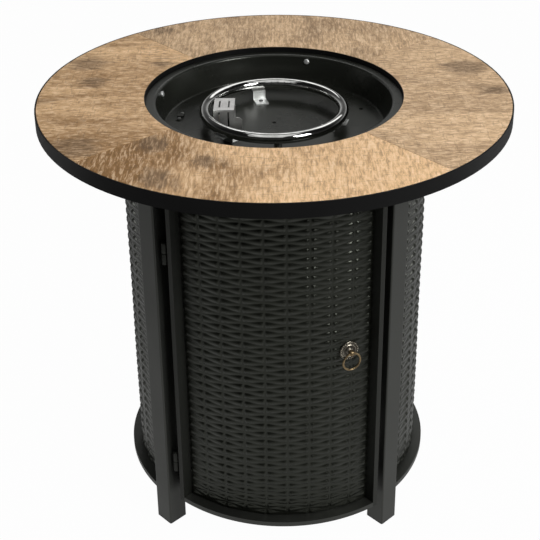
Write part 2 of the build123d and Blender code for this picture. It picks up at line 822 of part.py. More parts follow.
def leg(angle):
    post = square_bar(leg_width, leg_corner_radius, foot_pad_height, plate_bottom)
    inside = leg_width - 2 * leg_wall
    post -= square_bar(inside, leg_wall, foot_pad_height - overrun, plate_bottom + overrun)
    face = leg_center_radius - leg_width / 2
    for z, side in leg_bolt_levels():
        hole = Rot(0, quarter, 0) * round_bar(thread_hole_radius, 2 * overrun)
        post -= Pos(face - overrun, side, z) * hole
    return turn(angle, post)


def foot_plugs():
    inside = leg_width - 2 * leg_wall - 2 * seat_gap
    pad = square_bar(leg_width, leg_corner_radius, 0, foot_pad_height)
    pad += square_bar(inside, leg_wall, foot_pad_height, foot_pad_height + foot_plug_height)
    return [turn(angle, pad) for angle in leg_angles]


def leg_brackets():
    face = leg_center_radius - leg_width / 2
    low = plate_bottom - leg_bracket_drop
    sheet = leg_bracket_sheet
    angle_piece = side_profile([
        (face, plate_bottom), (face, low), (face - sheet, low), (face - sheet, plate_bottom - sheet),
        (face - leg_bracket_arm, plate_bottom - sheet), (face - leg_bracket_arm, plate_bottom)],
        leg_bracket_width)
    for z, side in leg_bolt_levels():
        hole = Rot(0, quarter, 0) * round_bar(screw_hole_radius, 2 * overrun)
        angle_piece -= Pos(face - overrun, side, z) * hole
    for _, radius, side in list(bracket_screw_places())[:2]:
        angle_piece -= disc(screw_hole_radius, plate_bottom - overrun, plate_bottom + overrun, radius, side)
    return [turn(angle, angle_piece) for angle in leg_angles]


def frame_screws():
    """Screws of the leg brackets and of the control plate."""
    face = leg_center_radius - leg_width / 2
    screws = []
    upright = Rot(half_turn, 0, 0) * pan_screw(leg_bracket_sheet + top_plate_thickness)
    level = Rot(0, -quarter, 0) * pan_screw(leg_bracket_sheet + leg_wall + screw_tail)
    for angle, radius, side in bracket_screw_places():
        screws.append(turn(angle, Pos(radius, side, plate_bottom - leg_bracket_sheet) * upright))
    for angle in leg_angles:
        for z, side in leg_bolt_levels():
            screws.append(turn(angle, Pos(face - leg_bracket_sheet, side, z) * level))
    hanging = Rot(half_turn, 0, 0) * pan_screw(control_plate_sheet + top_plate_thickness)
    for x, y in control_screw_places():
        screws.append(Pos(x, y, plate_bottom - control_plate_sheet) * hanging)
    return screws


def side_rails(bottom):
    """Curved flat bars on the left, right and back, from leg to leg."""
    ring = tube(frame_outer_radius, frame_inner_radius, bottom, bottom + frame_bar_height)
    sides = [angle for angle in leg_angles if angle != door_left_leg_angle]
    return [between_legs(ring, angle, leg_width / 2, leg_width / 2) for angle in sides]


def side_panel(leg_angle):
    sheet = tube(panel_outer_radius, panel_inner_radius, side_rail_top, top_rail_bottom)
    return between_legs(sheet, leg_angle, leg_width / 2, leg_width / 2)


def base_plate():
    """Floor of the cabinet, carried by the lower rails and cut back behind the door.

    A notch under the gas inlet lets a hose come up from below.
    """
    top = side_rail_top + base_plate_sheet
    front_radius = frame_inner_radius - base_plate_door_clearance
    plate = disc(frame_inner_radius + base_plate_overlap, side_rail_top, top)
    front = tube(reach, front_radius, side_rail_top - overrun, top + overrun)
    plate -= between_legs(front, door_left_leg_angle, 0, 0)
    plate -= block(valve_x - hose_notch_width / 2, valve_x + hose_notch_width / 2, -reach,
                   gas_inlet_y + hose_notch_behind, side_rail_top - overrun, top + overrun)
    notch = leg_width + 2 * base_plate_leg_clearance
    for angle in leg_angles:
        plate -= turn(angle, square_bar(notch, leg_corner_radius, side_rail_top - overrun, top + overrun))
    return plate


def tank_ring():
    radius = tank_ring_diameter / 2
    low = side_rail_top + base_plate_sheet
    return tube(radius + tank_ring_sheet, radius, low, low + tank_ring_height)


# The door
door_first_offset = leg_width / 2 + door_hinge_gap
door_second_offset = leg_width / 2 + door_latch_gap
hinge_side = leg_width / 2 + hinge_offset
hinge_place = turn(door_left_leg_angle, Pos(hinge_radial, hinge_side, 0)).position
hinge_axis = Axis(hinge_place, (0, 0, 1))


def swung(shape):
    """Open a piece of the closed door by the angle it is shown at."""
    return shape.rotate(hinge_axis, -door_open_angle)


def door_ring(z0, z1):
    return tube(frame_outer_radius, frame_inner_radius, z0, z1)


def door_hinge_stile():
    bar = door_ring(door_bottom_height, door_top_height)
    inner = door_first_offset + door_stile_width
    bar = bar & beyond(door_left_leg_angle, door_first_offset)
    return swung(bar & turn(door_left_leg_angle, block(0, reach, 0, inner, 0, reach)))


def door_latch_stile():
    bar = door_ring(door_bottom_height, door_top_height)
    inner = door_second_offset + door_stile_width
    bar = bar & before(door_right_leg_angle, door_second_offset)
    return swung(bar & turn(door_right_leg_angle, block(0, reach, -inner, 0, 0, reach)))


def inside_stiles(ring):
    return between_legs(ring, door_left_leg_angle, door_first_offset + door_stile_width,
                        door_second_offset + door_stile_width)


def door_rail(bottom):
    return swung(inside_stiles(door_ring(bottom, bottom + frame_bar_height)))


def handle_at(depth, height=handle_height):
    """A place on the closed door's panel, this far out from its face, with Z pointing outwards."""
    spot = Pos(panel_outer_radius + depth, 0, height) * Rot(0, quarter, 0)
    return turn(handle_angle - quarter, spot)


def door_panel():
    low = door_bottom_height + frame_bar_height
    high = door_top_height - frame_bar_height
    sheet = inside_stiles(tube(panel_outer_radius, panel_inner_radius, low, high))
    sheet -= handle_at(-overrun) * round_bar(post_diameter / 2 + hole_clearance, 2 * overrun)
    return swung(sheet)


def hinge_heights():
    return [hinge_lower_height, hinge_upper_height]


def hinge_leg_knuckles():
    """Lower halves of the two hinges, fixed to the leg."""
    radius = hinge_barrel_diameter / 2
    knuckles = []
    for height in hinge_heights():
        low = height - hinge_knuckle_length
        piece = disc(radius, low, height, hinge_radial, hinge_side)
        half = hinge_leaf_sheet / 2
        piece += block(hinge_radial - half, hinge_radial + half, leg_width / 2, hinge_side, low, height)
        bore = hinge_pin_diameter / 2 + thread_fit
        piece -= disc(bore, low - overrun, height + overrun, hinge_radial, hinge_side)
        knuckles.append(turn(door_left_leg_angle, piece))
    return knuckles


def hinge_door_knuckles():
    """Upper halves of the two hinges, fixed to the door's stile, with domed tops."""
    radius = hinge_barrel_diameter / 2
    knuckles = []
    for height in hinge_heights():
        low = height + hinge_knuckle_gap
        top = low + hinge_knuckle_length
        piece = disc(radius, low, top, hinge_radial, hinge_side)
        piece = fillet(piece.edges().group_by(Axis.Z)[-1], hinge_dome)
        back = hinge_radial - radius
        leaf_top = top - hinge_dome
        piece += block(back, back + hinge_leaf_sheet, hinge_side, door_first_offset, low, leaf_top)
        bore = hinge_pin_diameter / 2 + running_fit
        room = hinge_pin_reach + hinge_knuckle_gap
        piece -= disc(bore, low - overrun, height + room, hinge_radial, hinge_side)
        knuckles.append(swung(turn(door_left_leg_angle, piece)))
    return knuckles


def hinge_pins():
    pins = []
    for height in hinge_heights():
        low = height - hinge_knuckle_length
        pin = disc(hinge_pin_diameter / 2, low, height + hinge_pin_reach, hinge_radial, hinge_side)
        pins.append(turn(door_left_leg_angle, pin))
    return pins


def strike_plate():
    """Steel plate on the back of the latch stile for the magnet."""
    back = frame_inner_radius - strike_sheet
    ring = tube(frame_inner_radius, back, catch_height, catch_height + strike_length)
    near = door_second_offset + strike_inset
    far = door_second_offset + door_stile_width - strike_inset
    return swung(ring & turn(door_right_leg_angle, block(0, reach, -far, -near, 0, reach)))


def magnet_catch():
    """Magnet block that the closed door rests against, with a tab along the right leg."""
    face = frame_inner_radius - strike_sheet - catch_gap
    near = leg_width / 2
    top = catch_height + strike_length
    back = face - catch_depth
    magnet = block(back, reach, -near - catch_width, -near, catch_height, top)
    tab = block(back, face + catch_tab_length, -near - catch_tab_sheet, -near, catch_height, top)
    solid = turn(door_right_leg_angle, magnet) & disc(face, catch_height, top)
    return solid + turn(door_right_leg_angle, tab)


# The ring pull
def handle_rosette():
    """Round back plate with a beaded edge and a low dome."""
    base = round_bar(rosette_diameter / 2, rosette_base)
    bead_radius = rosette_diameter / 2 - rosette_bead_diameter / 2
    bead = rosette_bead_diameter / 2
    base += Pos(0, 0, rosette_base) * Torus(bead_radius - bead / 4, bead)
    dome = disc(rosette_dome_diameter / 2, 0, rosette_base + rosette_dome_rise)
    base += fillet(dome.edges().group_by(Axis.Z)[-1], rosette_dome_rise * rosette_dome_share)
    base -= disc(post_diameter / 2 + thread_fit, -overrun, eye_rise)
    return swung(handle_at(seat_gap) * base)


def handle_post():
    """Threaded post through the panel with an eye for the ring at its outer end."""
    tail = panel_sheet + handle_nut_height + screw_tail
    post = disc(post_diameter / 2, -tail, eye_rise)
    post += Pos(0, 0, eye_rise) * Sphere(eye_diameter / 2)
    sideways = Rot(quarter, 0, 0) * Cylinder(eye_hole_diameter / 2, 2 * eye_diameter)
    post -= Pos(0, 0, eye_rise) * sideways
    return swung(handle_at(0) * post)


def handle_ring():
    center_radius = (ring_outer_diameter - ring_wire_diameter) / 2
    ring = Torus(center_radius, ring_wire_diameter / 2)
    return swung(handle_at(eye_rise, handle_height - center_radius) * ring)


def handle_nut():
    nut = hex_nut(handle_nut_across, handle_nut_height, post_diameter + 2 * thread_fit)
    back = panel_sheet + handle_nut_height + seat_gap
    return swung(handle_at(-back) * nut)


def all_parts():
    """Every node's name with its solid, or its list of like solids."""
    right_side, back_side, left_side = leg_angles[3], leg_angles[0], leg_angles[1]
    front_side = leg_angles[2]
    return {
        "board_front": board(front_side),
        "board_right": board(right_side),
        "board_back": board(back_side),
        "board_left": board(left_side),
        "board_screws": board_screws(),
        "rim_band": rim_band(),
        "top_plate": top_plate(),
        "fire_bowl": fire_bowl(),
        "bowl_bolts": bowl_bolts(),
        "bowl_clips": bowl_clips(),
        "bowl_nuts": bowl_nuts(),
        "bowl_floor_screws": bowl_floor_screws(),
        "burner_ring": burner_ring(),
        "burner_brackets": burner_brackets(),
        "inlet_locknut": inlet_locknut(),
        "inlet_elbow": inlet_elbow(),
        "air_mixer": air_mixer(),
        "gas_jet": gas_jet(),
        "pilot_hood": pilot_hood(),
        "electrode_insulator": electrode_insulator(),
        "electrode_wire": electrode_wire(),
        "thermocouple": thermocouple(),
        "lead_clip": lead_clip(),
        "control_plate": control_plate(),
        "gas_valve": gas_valve(),
        "valve_nut": valve_nut(),
        "valve_stem": valve_stem(),
        "control_knob": control_knob(),
        "gas_inlet": gas_inlet(),
        "igniter_body": igniter_body(),
        "igniter_nut": igniter_nut(),
        "igniter_button": igniter_button(),
        "leg_back_right": leg(leg_angles[0]),
        "leg_back_left": leg(leg_angles[1]),
        "leg_front_left": leg(leg_angles[2]),
        "leg_front_right": leg(leg_angles[3]),
        "foot_plugs": foot_plugs(),
        "leg_brackets": leg_brackets(),
        "frame_screws": frame_screws(),
        "side_bottom_rails": side_rails(side_rail_height),
        "side_top_rails": side_rails(top_rail_bottom),
        "panel_right": side_panel(right_side),
        "panel_back": side_panel(back_side),
        "panel_left": side_panel(left_side),
        "base_plate": base_plate(),
        "tank_ring": tank_ring(),
        "door_hinge_stile": door_hinge_stile(),
        "door_latch_stile": door_latch_stile(),
        "door_top_rail": door_rail(door_top_height - frame_bar_height),
        "door_bottom_rail": door_rail(door_bottom_height),
        "door_panel": door_panel(),
        "hinge_leg_knuckles": hinge_leg_knuckles(),
        "hinge_door_knuckles": hinge_door_knuckles(),
        "hinge_pins": hinge_pins(),
        "strike_plate": strike_plate(),
        "magnet_catch": magnet_catch(),
        "handle_rosette": handle_rosette(),
        "handle_post": handle_post(),
        "handle_ring": handle_ring(),
        "handle_nut": handle_nut(),
    }


os.makedirs("parts", exist_ok=True)
for name, shape in all_parts().items():
    solid = Compound(children=shape) if isinstance(shape, list) else shape
    export_step(solid, f"parts/{name}.step")
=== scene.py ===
# %% [markdown]
# # A round gas fire table
# A table with a wood-look ring top, a black steel bowl with a polished ring burner, and a drum-shaped
# cabinet of woven-look steel with a door. The solids arrive ready made from the packed model, in metres,
# with the floor at z = 0 and the door towards -Y. This lesson dresses them: it gives every surface a finish
# and rebuilds the pieces whose charm is in small forms, such as the woven panels and the beaded ring pull.

# %% Load the packed model
import math

import bmesh
import bpy
from mathutils import Matrix, Vector


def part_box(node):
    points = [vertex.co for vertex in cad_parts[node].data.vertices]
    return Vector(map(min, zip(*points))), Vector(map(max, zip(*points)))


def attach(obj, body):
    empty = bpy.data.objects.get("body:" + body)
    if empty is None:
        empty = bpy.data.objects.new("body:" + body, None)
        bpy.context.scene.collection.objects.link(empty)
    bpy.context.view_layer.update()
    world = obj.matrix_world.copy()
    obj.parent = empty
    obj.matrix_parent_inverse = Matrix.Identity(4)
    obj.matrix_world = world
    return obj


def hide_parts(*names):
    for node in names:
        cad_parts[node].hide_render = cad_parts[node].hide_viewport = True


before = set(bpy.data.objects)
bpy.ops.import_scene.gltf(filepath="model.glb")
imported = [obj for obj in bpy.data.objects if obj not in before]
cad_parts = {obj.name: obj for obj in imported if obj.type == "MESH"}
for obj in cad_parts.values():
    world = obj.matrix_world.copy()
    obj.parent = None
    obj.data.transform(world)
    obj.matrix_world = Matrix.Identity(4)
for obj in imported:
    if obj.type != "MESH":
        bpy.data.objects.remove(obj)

scene = bpy.context.scene
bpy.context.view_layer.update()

# %% [markdown]
# ## The camera
# A product photograph from above the table's edge, taken with a long lens. A constraint could aim the camera
# at the table, but numbers match a photograph better: the place and the angles were worked out from the rims
# and feet in the picture. The picture's optical centre lies above its middle, as it does after a studio
# crop, and a small vertical shift gives that.

# %% Set the camera
camera_place = Vector((0.0276, -1.6793, 1.3729))
camera_yaw, camera_pitch, camera_roll = -0.0207, -0.4604, -0.0118
picture_width, focal_pixels = 540, 1208.4
picture_shift = -0.185
sensor_width = 36


def camera_axes():
    """The camera's right, up and backward directions."""
    level = math.cos(camera_pitch)
    ahead = Vector((math.sin(camera_yaw) * level, math.cos(camera_yaw) * level, math.sin(camera_pitch)))
    right = Vector((math.cos(camera_yaw), -math.sin(camera_yaw), 0))
    up = right.cross(ahead)
    tilt_cos, tilt_sin = math.cos(camera_roll), math.sin(camera_roll)
    return right * tilt_cos + up * tilt_sin, up * tilt_cos - right * tilt_sin, -ahead


camera_data = bpy.data.cameras.new("camera")
camera_data.sensor_width = sensor_width
camera_data.lens = focal_pixels / picture_width * sensor_width
camera_data.shift_y = picture_shift
camera = bpy.data.objects.new("camera", camera_data)
camera.matrix_world = Matrix.Translation(camera_place) @ Matrix(camera_axes()).transposed().to_4x4()
scene.collection.objects.link(camera)
scene.camera = camera
print("lens", round(camera_data.lens, 1), "mm")

# %% [markdown]
# ## Writing materials as sums
# A finish is a small network of nodes. It could be wired by hand, one link at a time, but it reads best as
# arithmetic. So one class stands for a wire in that network: adding or scaling wires adds the Math nodes,
# and `node` adds any other kind.


# %% A wire in a material
class Wire:
    """One socket's output in a material. Sums on wires add Math nodes."""

    def __init__(self, tree, socket=None):
        self.tree = tree
        self.socket = socket

    def node(self, kind, settings, sockets, out=0):
        """Add a node: its type, its settings, then the values or links of its sockets."""
        made = self.tree.nodes.new("ShaderNode" + kind)
        for key, value in settings.items():
            setattr(made, key, value)
        for key, value in sockets.items():
            if isinstance(value, Wire):
                self.tree.links.new(value.socket, made.inputs[key])
            else:
                made.inputs[key].default_value = value
        return Wire(self.tree, made.outputs[out] if made.outputs else None)

    def math(self, operation, *others):
        """Add a Math node that starts from this wire."""
        return self.node("Math", {"operation": operation}, dict(enumerate((self, *others))))

    def __add__(self, other):
        return self.math("ADD", other)

    __radd__ = __add__

    def __mul__(self, other):
        return self.math("MULTIPLY", other)

    __rmul__ = __mul__

    def __sub__(self, other):
        return self.math("SUBTRACT", other)

    def __rsub__(self, other):
        return self.node("Math", {"operation": "SUBTRACT"}, {0: other, 1: self})

    def held(self):
        """The same value kept between 0 and 1."""
        return self.node("Clamp", {}, {"Value": self})

    def ramp(self, low, high, to_low=0.0, to_high=1.0):
        """Stretch the span from low to high over a new span, with soft ends."""
        sockets = {"Value": self, "From Min": low, "From Max": high, "To Min": to_low, "To Max": to_high}
        return self.node("MapRange", {"interpolation_type": "SMOOTHSTEP"}, sockets)

    def noise(self, scale, detail=4.0, roughness=0.55, distortion=0.0):
        """Cloudy noise over this wire's coordinates."""
        sockets = {"Vector": self, "Scale": scale, "Detail": detail, "Roughness": roughness}
        return self.node("TexNoise", {}, {**sockets, "Distortion": distortion})

    def stretched(self, x, y, z, turn=0.0):
        """These coordinates scaled along each axis, after a turn about Z."""
        sockets = {"Vector": self, "Scale": (x, y, z), "Rotation": (0, 0, turn)}
        return self.node("Mapping", {"vector_type": "POINT"}, sockets)

    def along(self, axis):
        """One of this vector's three parts."""
        return self.node("SeparateXYZ", {}, {0: self}, out=axis)

    def length(self):
        """How long this vector is."""
        return self.node("VectorMath", {"operation": "LENGTH"}, {0: self}, out="Value")

    def blend(self, first, second):
        """Mix two colours by this wire."""
        return self.blend_by(self, first, second)

    def blend_by(self, share, first, second):
        """Mix two colours by a share, which may be a plain number."""
        return self.node("Mix", {"data_type": "RGBA"}, {0: share, 6: first, 7: second}, out=2)


print("a wire can", [name for name in vars(Wire) if not name.startswith("_")])

# %% [markdown]
# ## The room
# Black paint and polished steel show mostly what stands round them. Here a pale sweep stands behind the
# table, and the room in front, where the camera is, stays dim: that gives the paint its depth and the burner
# its dark flanks. An image of a studio could do this, but a few sums are enough. Rays from the camera meet
# plain white. Reflections meet a sweep that is pale low down and darker above. All other rays find a weak,
# even fill light.

# %% Build the room
scene.view_settings.view_transform = "Standard"
white = (1, 1, 1, 1)
fill_light = 0.26
dim_front, pale_sweep, share_above = 0.08, 0.62, 0.14


def ray_share(paint, kind):
    """1 for one kind of ray, such as Camera or Glossy, and 0 for all others."""
    return paint.node("LightPath", {}, {}, out=f"Is {kind} Ray")


world = bpy.data.worlds.new("studio")
world.use_nodes = True
world.node_tree.nodes.clear()
scene.world = world
sky = Wire(world.node_tree)
fill = sky.node("Background", {}, {"Color": white, "Strength": fill_light})
direction = sky.node("TexCoord", {}, {}, out="Generated")
towards_sweep = direction.along("Y").ramp(0.05, 0.9, dim_front, pale_sweep)
near_ground = direction.along("Z").ramp(0.12, 0.46, 1.0, share_above)
room = ray_share(sky, "Camera").math("MAXIMUM", towards_sweep * near_ground)
backdrop = sky.node("Background", {}, {"Color": white, "Strength": room})
shows_room = ray_share(sky, "Camera").math("MAXIMUM", ray_share(sky, "Glossy"))
shows_room = shows_room.math("MAXIMUM", ray_share(sky, "Transmission"))
surroundings = sky.node("MixShader", {}, {0: shows_room, 1: fill, 2: backdrop})
sky.node("OutputWorld", {}, {"Surface": surroundings})
print("room nodes:", len(world.node_tree.nodes))

# %% [markdown]
# ## The lamps
# Six soft boxes light the table. The strong one at the front right lights the boards and draws the glints on
# the weave. Those above and behind even out the boards, and two weak ones at the sides pick out the edges of
# the legs and panels. Small lamps would throw hard shadows, so all of them are wide.


# %% Hang the lamps
def soft_box(name, place, target, width, depth, watts):
    """A large area lamp that faces a point."""
    lamp = bpy.data.lights.new(name, "AREA")
    lamp.shape = "RECTANGLE"
    lamp.size, lamp.size_y, lamp.energy = width, depth, watts
    holder = bpy.data.objects.new(name, lamp)
    aim = (Vector(target) - Vector(place)).to_track_quat("-Z", "Y")
    holder.matrix_world = Matrix.Translation(place) @ aim.to_matrix().to_4x4()
    scene.collection.objects.link(holder)


soft_box("top_back_light", (0.25, 1.5, 2.1), target=(0, 0, 0.6), width=1.6, depth=1.0, watts=9)
soft_box("front_top_light", (-0.3, -1.3, 2.4), target=(0, 0, 0.3), width=1.8, depth=0.9, watts=3.5)
soft_box("overhead_light", (0, -0.3, 2.6), target=(0, 0, 0.6), width=1.5, depth=1.5, watts=7)
soft_box("front_right_light", (1.5, -1.4, 2.0), target=(0, 0, 0.5), width=0.9, depth=0.9, watts=45)
soft_box("left_side_light", (-2.2, 0.4, 0.6), target=(0, 0, 0.35), width=0.8, depth=0.8, watts=6)
soft_box("right_side_light", (2.2, 0.4, 0.6), target=(0, 0, 0.35), width=0.8, depth=0.8, watts=8)

# %% [markdown]
# ## The floor
# The floor shows white to the camera, with a trace of real shading that keeps the table's shadow. In
# reflections it glows near the table and fades with distance, so upright black faces grow lighter towards
# their feet. More light on the floor would also fall on the boards, so a glow is mixed into matte grey by
# the kind of ray instead.


# %% Lay the floor
def start_finish(name):
    """A new material, a wire to build from and its Object coordinates."""
    material = bpy.data.materials.new(name)
    material.use_nodes = True
    material.node_tree.nodes.clear()
    paint = Wire(material.node_tree)
    return material, paint, paint.node("TexCoord", {}, {}, out="Object")


floor_reach = 14
floor_grey = (0.4, 0.4, 0.4, 1)
glow_in_view, glow_near, glow_far = 0.98, 0.42, 0.03
near_table, far_from_table = 0.3, 1.45

floor_form = bmesh.new()
bmesh.ops.create_grid(floor_form, x_segments=1, y_segments=1, size=floor_reach)
floor_data = bpy.data.meshes.new("studio_floor")
floor_form.to_mesh(floor_data)
floor_form.free()
floor = bpy.data.objects.new("studio_floor", floor_data)
scene.collection.objects.link(floor)
floor_paint, ground, floor_spot = start_finish("studio_floor")
matte = ground.node("BsdfDiffuse", {}, {"Color": floor_grey})
glow = ground.node("Emission", {}, {"Color": white})
fading = floor_spot.length().ramp(near_table, far_from_table, glow_near, glow_far)
in_view = ray_share(ground, "Camera") * glow_in_view
glow_share = in_view.math("MAXIMUM", ray_share(ground, "Glossy") * fading)
floor_surface = ground.node("MixShader", {}, {0: glow_share, 1: matte, 2: glow})
ground.node("OutputMaterial", {}, {"Surface": floor_surface})
floor_data.materials.append(floor_paint)
print("floor nodes:", len(floor_paint.node_tree.nodes))

# %% [markdown]
# ## Wood-look boards
# The boards carry a rough-sawn oak decor: slow clouds from tan to brown, streaks along the grain, flecks a
# few millimetres long, sparse saw ticks across them, and smoky smudges and knots. A ready wave texture looks
# too even for that. So each is noise, squeezed across the grain and drawn out along it at its own scale, and
# the knots are soft spots at chosen places. The grain runs along X on the left and right boards and along Y
# on the front and back. The front board is painted darker at its left end and lighter at its right as painted
# light and shade, and the right and back boards are greyed as a painted sheen. The edge that faces the bowl
# is painted black, as painted shade for the shadow in the opening.

# %% Wood finish
oak_cream = (0.93, 0.71, 0.49, 1)
oak_tan = (0.70, 0.45, 0.235, 1)
oak_brown = (0.24, 0.12, 0.034, 1)
oak_umber = (0.10, 0.058, 0.028, 1)
painted_sheen_grey = (0.40, 0.30, 0.20, 1)
opening_shade_black = (0.004, 0.004, 0.004, 1)
edge_start, edge_end = 0.1943, 0.1949
finishes = {}


def end_finish(paint, height, strength, distance, sockets):
    """Close a material with one shader: a bump from a height, and the shader's own sockets."""
    bump = paint.node("Bump", {}, {"Height": height, "Strength": strength, "Distance": distance})
    shader = paint.node("BsdfPrincipled", {}, {**sockets, "Normal": bump})
    paint.node("OutputMaterial", {}, {"Surface": shader})


def wood_finish(name, grain_angle, run, fleck_run, offset, tone, painted_light_drift, sheen_grey_share, knots):
    """Oak decor: run and fleck_run are how often it changes along the grain, offset moves the pattern, tone
    darkens it, the drift slopes its shade along X as painted light and shade, and the grey share greys it as
    a painted sheen. A knot has its X, its Y and its reach in metres."""
    material, paint, place = start_finish(name)
    flat = place.stretched(1, 1, 0)
    moved = paint.node("VectorMath", {"operation": "ADD"}, {0: place, 1: (offset, offset * 0.7, 0)})
    grain = moved.stretched(1, 1, 1, turn=grain_angle)
    clouds = grain.stretched(run, 11, 1).noise(1.0, detail=4.0, roughness=0.55, distortion=0.6)
    streaks = grain.stretched(run * 2, 55, 1).noise(1.0, detail=4.0, roughness=0.6, distortion=0.4)
    flecks = grain.stretched(fleck_run, 270, 1).noise(1.0, detail=4.0, roughness=0.7, distortion=0.5)
    ticks = grain.stretched(380, 60, 1).noise(1.0, detail=2.0, roughness=0.5, distortion=0.4)
    smudges = grain.stretched(9, 18, 1).noise(1.0, detail=4.0, roughness=0.6, distortion=1.0)
    shade = clouds.ramp(0.32, 0.68) * 0.75 + streaks.ramp(0.36, 0.64) * 0.22
    # Painted light and shade: the shade slopes along X, so the front board is darker at its left end and
    # lighter at its right, as if lit from the right.
    shade = shade + place.along("X") * painted_light_drift + tone
    colour = shade.held().blend(oak_tan, oak_brown)
    # Painted sheen: the grey mixed in here stands in for the sheen that the right and back boards catch from
    # the light behind.
    colour = paint.blend_by(sheen_grey_share, colour, painted_sheen_grey)
    colour = (flecks.ramp(0.46, 0.66) * 0.46).blend(colour, oak_cream)
    colour = (flecks.ramp(0.52, 0.33) * 0.48).blend(colour, oak_umber)
    colour = (ticks.ramp(0.56, 0.70) * 0.32).blend(colour, oak_umber)
    smoke = smudges.ramp(0.58, 0.74) * 0.6
    for x, y, reach in knots:
        gap = paint.node("VectorMath", {"operation": "DISTANCE"}, {0: flat, 1: (x, y, 0)}, out="Value")
        smoke = smoke.math("MAXIMUM", (gap + streaks * 0.09 - 0.045).ramp(reach, reach * 0.2))
    colour = (smoke * flecks.ramp(0.66, 0.36, 0.6, 1.0) * 0.8).blend(colour, oak_umber)
    # Painted shade: the edge that faces the bowl is painted black for the shadow in the opening.
    colour = (1 - flat.length().ramp(edge_start, edge_end)).blend(colour, opening_shade_black)
    end_finish(paint, flecks * 0.6 + ticks * 0.4, strength=0.3, distance=0.0006, sockets={
        "Base Color": colour, "Roughness": flecks.ramp(0.2, 0.8, 0.40, 0.56), "Specular IOR Level": 0.15})
    finishes[name] = material


print("the black edge ends", edge_end, "m from the middle")

# %% The four boards
quarter_turn = math.radians(90)
wood_finish("oak_front", quarter_turn, run=7, fleck_run=48, offset=3.1, tone=-0.26, painted_light_drift=-3.2, sheen_grey_share=0.0,
            knots=[(-0.165, -0.18, 0.035), (-0.145, -0.29, 0.04), (-0.09, -0.24, 0.03)])
wood_finish("oak_right", 0.0, run=4, fleck_run=80, offset=7.4, tone=-0.17, painted_light_drift=0.0, sheen_grey_share=0.38,
            knots=[(0.335, 0.01, 0.03), (0.30, 0.10, 0.05)])
wood_finish("oak_back", quarter_turn, run=7, fleck_run=48, offset=1.7, tone=-0.08, painted_light_drift=0.0, sheen_grey_share=0.4,
            knots=[(-0.195, 0.28, 0.03)])
wood_finish("oak_left", 0.0, run=4, fleck_run=80, offset=5.3, tone=-0.12, painted_light_drift=0.0, sheen_grey_share=0.0,
            knots=[(-0.27, -0.19, 0.05), (-0.28, 0.05, 0.035), (-0.30, 0.12, 0.05), (-0.18, 0.12, 0.03)])
print("wood:", list(finishes))

# %% [markdown]
# ## Painted steel
# The frame is black powder coat: a satin skin with a fine orange-peel grain, a touch of dust, and slightly
# uneven gloss. One flat black would look cut out of the picture, so slow clouds, specks and a fine bump break
# it up. The rim, the woven sheets and the bowl are the same paint in other grades, and the door's frame and
# hinges take it made darker as painted shade, so one function makes them all.


# %% Powder coat
def grey(value, olive=0.0):
    """A neutral linear colour, or one that leans to olive."""
    return (value * (1 - 0.3 * olive), value, value * (1 - olive), 1)


def powder_coat(name, shade, roughness, specular, peel, olive=0.0):
    """Satin black paint: shade is its linear grey, peel is the depth of its fine grain in metres, and olive
    is how far it leans to green."""
    material, paint, place = start_finish(name)
    cloud = place.noise(9.0, detail=4.0)
    grain = place.noise(1500.0, detail=2.0)
    specks = place.noise(420.0, detail=3.0).ramp(0.66, 0.76)
    colour = cloud.ramp(0.3, 0.7).blend(grey(shade * 0.85, olive), grey(shade * 1.2, olive))
    colour = (specks * 0.25).blend(colour, grey(shade * 2.2, olive))
    patchy = cloud.ramp(0.25, 0.75, roughness - 0.05, roughness + 0.06) + grain * 0.04
    end_finish(paint, grain, strength=0.35, distance=peel, sockets={
        "Base Color": colour, "Roughness": patchy, "Specular IOR Level": specular,
        "Specular Tint": grey(1.0, olive * 0.5)})
    finishes[name] = material


powder_coat("frame_black", shade=0.010, roughness=0.42, specular=0.75, peel=0.00012, olive=0.15)
# Painted shade: the door's frame and hinges take the frame's paint made darker.
powder_coat("painted_shade_door_black", shade=0.006, roughness=0.42, specular=0.38, peel=0.00012, olive=0.2)
powder_coat("rim_black", shade=0.005, roughness=0.45, specular=0.12, peel=0.00010)
powder_coat("weave_black", shade=0.004, roughness=0.30, specular=0.50, peel=0.00016, olive=0.3)
powder_coat("bowl_black", shade=0.009, roughness=0.25, specular=0.35, peel=0.00006, olive=0.2)
powder_coat("inside_and_port_shade_black", shade=0.014, roughness=0.55, specular=0.40, peel=0.00012, olive=0.1)
print("paints:", [n for n in finishes if n.endswith("black")])

# %% [markdown]
# ## Bare metals
# The burner ring is polished, the pilot hood is satin stainless steel, screws and brackets are zinc plated,
# the screws in the bowl's floor have gone dull, and the gas fittings are brass. One even grey would look like
# plastic. So each metal mixes a light and a dark tone by slow patches, brushed streaks and small crystals.


# %% Plated and polished metals
def bare_metal(name, light, dark, least_rough, most_rough, streak):
    """Plated or polished metal: patchy colour, fine brushed streaks along one axis and uneven gloss."""
    material, paint, place = start_finish(name)
    patch = place.noise(60.0, detail=4.0)
    brushed = place.stretched(*streak).noise(1.0, detail=3.0)
    spangle = paint.node("TexVoronoi", {"feature": "F1"}, {"Vector": place, "Scale": 260.0}, out="Color")
    crystals = paint.node("SeparateColor", {}, {0: spangle}, out=0)
    mix = (patch.ramp(0.3, 0.7) * 0.6 + brushed.ramp(0.3, 0.7) * 0.25 + crystals * 0.15).held()
    end_finish(paint, brushed, strength=0.12, distance=0.0001, sockets={
        "Base Color": mix.blend(light, dark), "Roughness": mix.ramp(0.0, 1.0, least_rough, most_rough),
        "Metallic": 1.0})
    finishes[name] = material


